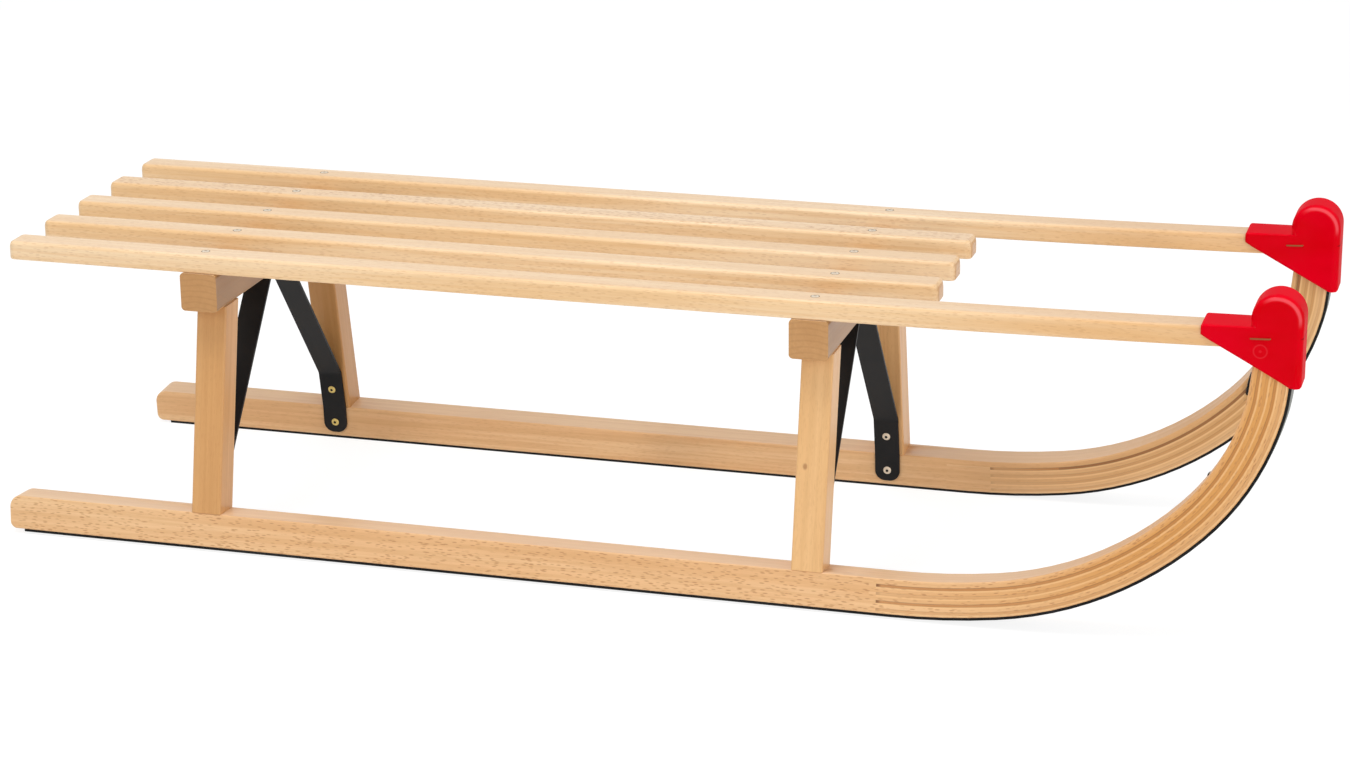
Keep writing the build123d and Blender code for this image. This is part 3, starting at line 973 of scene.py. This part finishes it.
def slat_ring(bm, x, y, half, low, high):
    """A ring of vertices round a slat's section, which has four rounded corners."""
    ring = []
    corners = (
        (1, 1, SLAT_TOP_ROUND, 0),
        (-1, 1, SLAT_TOP_ROUND, 90),
        (-1, -1, SLAT_LOW_ROUND, 180),
        (1, -1, SLAT_LOW_ROUND, 270),
    )
    for sy, sz, r, first in corners:
        cy = y + sy * (half - r)
        cz = high - r if sz > 0 else low + r
        for k in range(6):
            angle = math.radians(first + 18 * k)
            ring.append(bm.verts.new((x, cy + r * math.cos(angle), cz + r * math.sin(angle))))
    return ring


def rounded_slat(node, y, front, rising):
    """A slat with rounded ends, drawn as rings. A rising one's front end is inside its cap."""
    # Place along x, and distance from the end that is rounded there
    stations = [(SLAT_REAR + d, d) for d in END_STEPS]
    if rising:
        stations += [(mm / 1000, 1.0) for mm in RISE_STATIONS_MM] + [(front, 1.0)]
    else:
        stations += [(front - d, d) for d in reversed(END_STEPS)]
    bm = bmesh.new()
    rings = []
    for x, from_end in stations:
        rise = 0.0
        if rising:
            rise = RISE_RADIUS - math.sqrt(RISE_RADIUS**2 - max(0.0, x - RISE_START) ** 2)
        half = SLAT_W / 2 - drawn_in(END_SIDE_ROUND, from_end)
        low = SLAT_UNDER + rise + drawn_in(END_LOW_ROUND, from_end)
        high = SLAT_TOP + rise - drawn_in(END_TOP_ROUND, from_end)
        rings.append(slat_ring(bm, x, y, half, low, high))
    join_rings(bm, rings)
    bm.faces.new(rings[0])
    bm.faces.new(rings[-1])
    show_instead(f"rounded_{node}", bm, slat_wood, node)


for node, place in (("slat_inner_right", -1), ("slat_middle", 0), ("slat_inner_left", 1)):
    rounded_slat(node, place * SLAT_PITCH, SLAT_FRONT, False)
for node, place in (("slat_outer_right", -2), ("slat_outer_left", 2)):
    rounded_slat(node, place * SLAT_PITCH, OUTER_FRONT, True)

leg_rounds = ((LEG_ROUND, leg_edge),)
cap_rounds = ((CAP_RIM_ROUND, cap_rim), (CAP_CROSS_ROUND, cap_cross_edge))
runner_rounds = ((RUNNER_ROUND, runner_rim),)
for place in ("rear", "front"):
    for where, side in (("right", -1), ("left", 1)):
        softened_copy(f"leg_{place}_{where}", side, leg_rounds, leg_wood)
for where, side in (("right", -1), ("left", 1)):
    softened_copy(f"cap_{where}", side, cap_rounds, cap_red)
    softened_copy(f"runner_{where}", side, runner_rounds, runner_wood)


# ---------------------------------------------------------------- floor and world
# Both look white to the camera and in reflections, without lighting the sled more.


def background_rays(t):
    """1 for rays that see the background: from the camera, reflected and passed through."""
    path = t.nodes.new("ShaderNodeLightPath")
    seen = t.math("MAXIMUM", path.outputs["Is Camera Ray"], path.outputs["Is Glossy Ray"])
    return t.math("MAXIMUM", seen, path.outputs["Is Transmission Ray"])


bm = bmesh.new()
bmesh.ops.create_grid(bm, x_segments=1, y_segments=1, size=FLOOR_HALF)
mesh = bpy.data.meshes.new("floor")
bm.to_mesh(mesh)
bm.free()
floor = bpy.data.objects.new("floor", mesh)
scene.collection.objects.link(floor)
t = Tree("floor_pale")
t.set(Base_Color=(FLOOR_GREY, FLOOR_GREY, FLOOR_GREY, 1.0), Roughness=0.9)
t.set(Specular_IOR_Level=0.0)
white = t.nodes.new("ShaderNodeEmission")
white.inputs["Color"].default_value = (1, 1, 1, 1)
white.inputs["Strength"].default_value = FLOOR_SEEN
blend = t.nodes.new("ShaderNodeMixShader")
t.put(blend.inputs[0], t.mul(background_rays(t), FLOOR_SEEN_SHARE))
t.put(blend.inputs[1], t.shader.outputs[0])
t.put(blend.inputs[2], white.outputs[0])
t.put(t.out.inputs["Surface"], blend.outputs[0])
mesh.materials.append(t.material)


class WorldTree(Tree):
    """The same short names in the tree of a world."""

    def __init__(self, world):
        world.use_nodes = True
        self.nodes = world.node_tree.nodes
        self.links = world.node_tree.links
        self.nodes.clear()
        self.out = self.nodes.new("ShaderNodeOutputWorld")


world = bpy.data.worlds.new("studio")
scene.world = world
t = WorldTree(world)
lighting = t.nodes.new("ShaderNodeBackground")
lighting.inputs["Strength"].default_value = WORLD_LIGHT
seen_as = t.nodes.new("ShaderNodeBackground")
seen_as.inputs["Strength"].default_value = WORLD_SEEN
blend = t.nodes.new("ShaderNodeMixShader")
t.put(blend.inputs[0], background_rays(t))
t.put(blend.inputs[1], lighting.outputs[0])
t.put(blend.inputs[2], seen_as.outputs[0])
t.put(t.out.inputs["Surface"], blend.outputs[0])


# ---------------------------------------------------------------- lamps and camera

for name, place, target, (width, height), watts in LAMPS:
    lamp = bpy.data.lights.new(name, "AREA")
    lamp.shape = "RECTANGLE"
    lamp.size, lamp.size_y = width, height
    lamp.energy = watts
    obj = bpy.data.objects.new(name, lamp)
    scene.collection.objects.link(obj)
    obj.location = place
    obj.rotation_mode = "QUATERNION"
    obj.rotation_quaternion = (Vector(target) - Vector(place)).to_track_quat("-Z", "Y")

up = Vector((0, 0, 1))
ahead = Vector((math.sin(YAW), math.cos(YAW), 0))
right = Vector((math.cos(YAW), -math.sin(YAW), 0))
forward = ahead * math.cos(PITCH) - up * math.sin(PITCH)
above = up * math.cos(PITCH) + ahead * math.sin(PITCH)
right, above = (
    right * math.cos(ROLL) + above * math.sin(ROLL),
    above * math.cos(ROLL) - right * math.sin(ROLL),
)
turned = Matrix((right, above, -forward)).transposed().to_4x4()
camera = bpy.data.objects.new("camera", bpy.data.cameras.new("camera"))
scene.collection.objects.link(camera)
camera.matrix_world = Matrix.Translation(Vector(CAMERA_PLACE)) @ turned
camera.data.sensor_width = SENSOR_MM
camera.data.lens = LENS_MM
camera.data.clip_start = 0.05
camera.data.clip_end = 100.0
scene.camera = camera
scene.view_settings.view_transform = "Standard"
